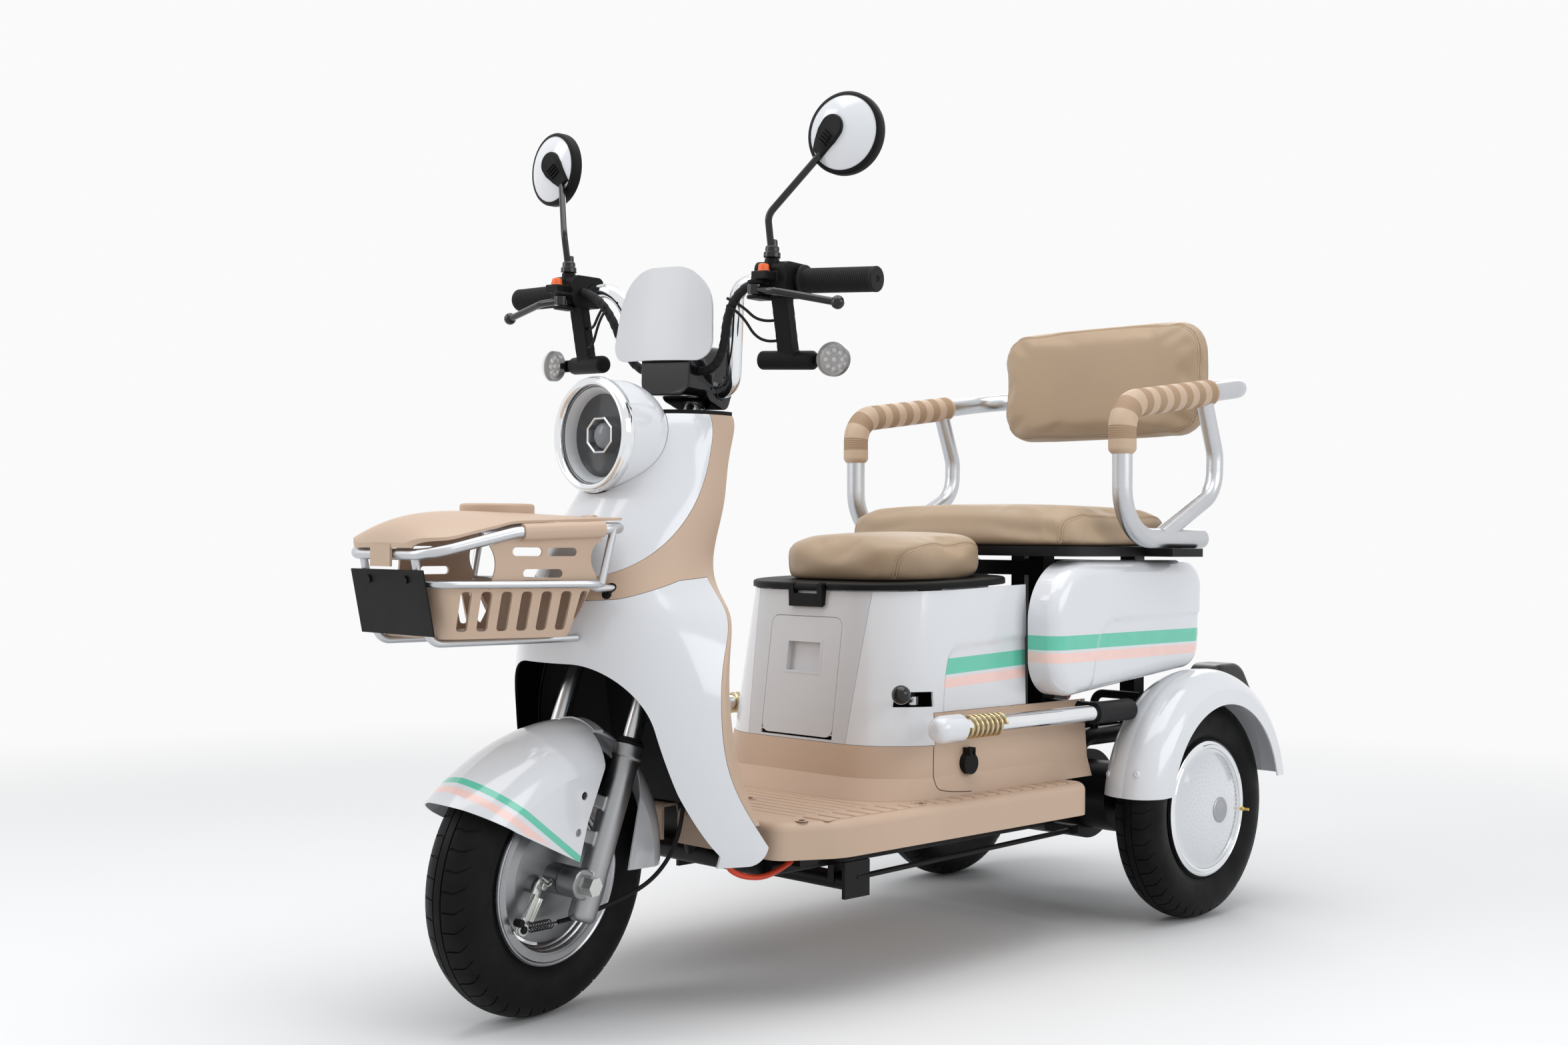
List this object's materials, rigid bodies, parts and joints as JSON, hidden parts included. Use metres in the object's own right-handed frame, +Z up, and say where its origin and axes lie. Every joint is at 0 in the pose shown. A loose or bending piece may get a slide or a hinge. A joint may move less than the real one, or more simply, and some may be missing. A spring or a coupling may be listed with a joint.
{
  "type": "electric tricycle",
  "caption": "Electric tricycle with a front basket with lid, steered fork with brake, step-through floor, seat box with battery door, rear bench with armrests, and crash bars.",
  "frame": {"origin": "centre of the bounding box on the ground plane", "axes": "+X forward, +Y to the rider's left, +Z up"},
  "size_m": [1.6842, 0.686, 1.2408],
  "materials": {
    "black_gloss": "gloss",
    "black_plastic": "satin",
    "black_rubber": "matte",
    "cast_alloy": "cast",
    "chrome": "polished",
    "frame_black": "satin",
    "gold_spring": "polished",
    "lamp_clear": "clear",
    "lamp_inside": "gloss",
    "lamp_red": "gloss",
    "mirror_shell": "gloss",
    "orange": "satin",
    "panel_white": "satin",
    "screen": "gloss",
    "silver_paint": "satin silver",
    "sleeve_foam": "ribbed matte",
    "steel": "brushed",
    "tan_leather": "grained",
    "tan_plastic": "satin",
    "tyre": "matte",
    "white_gloss": "gloss"
  },
  "bodies": {
    "chassis": {"chassis_frame": "frame_black", "rear_axle": "frame_black", "lower_leg_shield": "white_gloss", "upper_shield": "white_gloss", "inner_shield": "tan_plastic", "column_liners": "black_plastic", "headlight_shell": "white_gloss", "headlight_bezel": "chrome", "headlight_module": "lamp_inside", "basket_frame": "silver_paint", "basket_tub": "tan_plastic", "front_plate": "black_plastic", "floor_board": "tan_plastic", "seat_box_base": "tan_plastic", "seat_box_front": "panel_white", "seat_box_sides": "white_gloss", "charge_socket": "black_plastic", "battery_pack": "black_plastic", "rear_seat_base": "black_plastic", "rear_seat_cushion": "tan_leather", "armrest_frame": "silver_paint", "armrest_sleeves": "sleeve_foam", "backrest_cushion": "tan_leather", "bumper_tubes": "chrome", "bumper_springs": "gold_spring", "rear_covers": "white_gloss", "rear_fenders": "white_gloss", "tail_lights": "lamp_red"},
    "steering": {"fork_tubes": "steel", "handlebar": "chrome", "instrument_housing": "black_gloss", "windscreen": "screen", "left_grip": "black_rubber", "switch_housings": "black_plastic", "signal_lamps": "lamp_clear", "handlebar_cables": "black_rubber"},
    "fork_lower": {"fork_sliders": "cast_alloy", "front_fender": "white_gloss", "front_brake_plate": "cast_alloy", "front_brake_cable": "black_rubber"},
    "front_wheel_body": {"front_wheel": "cast_alloy", "front_tyre": "tyre"},
    "front_brake_arm_body": {"front_brake_arm": "steel"},
    "throttle": {"throttle_grip": "black_rubber"},
    "lever_left": {"brake_lever_left": "black_plastic"},
    "lever_right": {"brake_lever_right": "black_plastic"},
    "horn_button": {"button_left": "orange"},
    "light_button": {"button_right": "orange"},
    "mirror_left_body": {"mirror_left": "mirror_shell"},
    "mirror_right_body": {"mirror_right": "mirror_shell"},
    "front_seat": {"seat_tray": "black_plastic", "front_seat_cushion": "tan_leather"},
    "battery_door_body": {"battery_door": "panel_white"},
    "basket_lid_body": {"basket_lid": "tan_plastic"},
    "park_lever_body": {"park_lever": "black_plastic"},
    "charge_cap_body": {"charge_cap": "black_plastic"},
    "rear_wheel_left_body": {"rear_wheel_left": "white_gloss", "rear_tyre_left": "tyre"},
    "rear_wheel_right_body": {"rear_wheel_right": "white_gloss", "rear_tyre_right": "tyre"}
  },
  "joints": [
    {"name": "steering_turn", "type": "hinge", "parent": "chassis", "child": "steering", "pos_m": [0.39296, 0, 0.64082], "axis": [-0.342, 0, 0.9397], "range_deg": [-42.5, 21.5], "deforming": ["front_brake_cable"]},
    {"name": "fork_travel", "type": "slide", "parent": "steering", "child": "fork_lower", "axis": [-0.342, 0, 0.9397], "range_m": [0, 0.045], "stiffness_N_per_m": 14000, "springref_m": -0.03, "deforming": ["front_brake_cable"]},
    {"name": "front_wheel_spin", "type": "hinge", "parent": "fork_lower", "child": "front_wheel_body", "pos_m": [0.60186, 0.00747, 0.18477], "axis": [-0.1712, 0.9833, -0.0623], "continuous": true},
    {"name": "front_brake_arm_turn", "type": "hinge", "parent": "fork_lower", "child": "front_brake_arm_body", "pos_m": [0.64127, 0.0142, 0.18255], "axis": [-0.1712, 0.9833, -0.0623], "range_deg": [0, 11], "deforming": ["front_brake_cable"]},
    {"name": "brake_lever_left_pull", "type": "hinge", "parent": "steering", "child": "lever_left", "pos_m": [0.40113, 0.19845, 0.95853], "axis": [-0.0021, 0.0387, 0.9992], "range_deg": [0, 11], "stiffness_Nm_per_rad": 1.2, "springref_deg": -14.32},
    {"name": "brake_lever_right_pull", "type": "hinge", "parent": "steering", "child": "lever_right", "pos_m": [0.44028, -0.16719, 0.97278], "axis": [0.0021, -0.0387, -0.9992], "range_deg": [0, 11], "stiffness_Nm_per_rad": 1.2, "springref_deg": -14.32},
    {"name": "throttle_turn", "type": "hinge", "parent": "steering", "child": "throttle", "pos_m": [0.38904, -0.10162, 0.98815], "axis": [-0.0302, 0.9993, -0.0208], "range_deg": [0, 60], "stiffness_Nm_per_rad": 0.35, "springref_deg": -11.46},
    {"name": "horn_button_press", "type": "slide", "parent": "steering", "child": "horn_button", "axis": [0.0021, -0.0387, -0.9992], "range_m": [0, 0.002], "stiffness_N_per_m": 350, "springref_m": -0.002},
    {"name": "light_button_press", "type": "slide", "parent": "steering", "child": "light_button", "axis": [0.0021, -0.0387, -0.9992], "range_m": [0, 0.002], "stiffness_N_per_m": 350, "springref_m": -0.002},
    {"name": "mirror_left_swivel", "type": "hinge", "parent": "steering", "child": "mirror_left_body", "pos_m": [0.37821, 0.20673, 1.0017], "axis": [-0.0021, 0.0387, 0.9992], "range_deg": [-30, 30]},
    {"name": "mirror_right_swivel", "type": "hinge", "parent": "steering", "child": "mirror_right_body", "pos_m": [0.41927, -0.17679, 1.01664], "axis": [-0.0021, 0.0387, 0.9992], "range_deg": [-30, 30]},
    {"name": "front_seat_lift", "type": "hinge", "parent": "chassis", "child": "front_seat", "pos_m": [0.09165, 0, 0.55654], "axis": [0, 1, 0], "range_deg": [0, 65]},
    {"name": "battery_door_open", "type": "hinge", "parent": "chassis", "child": "battery_door_body", "pos_m": [0.11391, 0, 0.337], "axis": [0, 1, 0], "range_deg": [0, 75]},
    {"name": "basket_lid_open", "type": "hinge", "parent": "chassis", "child": "basket_lid_body", "pos_m": [0.5545, 0, 0.652], "axis": [0, -1, 0], "range_deg": [0, 75]},
    {"name": "park_lever_pull", "type": "hinge", "parent": "chassis", "child": "park_lever_body", "pos_m": [0.0375, 0.164, 0.394], "axis": [0, 0, 1], "range_deg": [0, 12]},
    {"name": "charge_cap_open", "type": "hinge", "parent": "chassis", "child": "charge_cap_body", "pos_m": [-0.0445, 0.2105, 0.3155], "axis": [1, 0, 0], "range_deg": [0, 100]},
    {"name": "rear_wheel_left_spin", "type": "hinge", "parent": "chassis", "child": "rear_wheel_left_body", "pos_m": [-0.5645, 0.263, 0.185], "axis": [0, 1, 0], "continuous": true},
    {"name": "rear_wheel_right_spin", "type": "hinge", "parent": "chassis", "child": "rear_wheel_right_body", "pos_m": [-0.5645, -0.263, 0.185], "axis": [0, 1, 0], "continuous": true}
  ],
  "couplings": [
    {"joint": "front_brake_arm_turn", "follows": "brake_lever_right_pull", "ratio": 1}
  ]
}
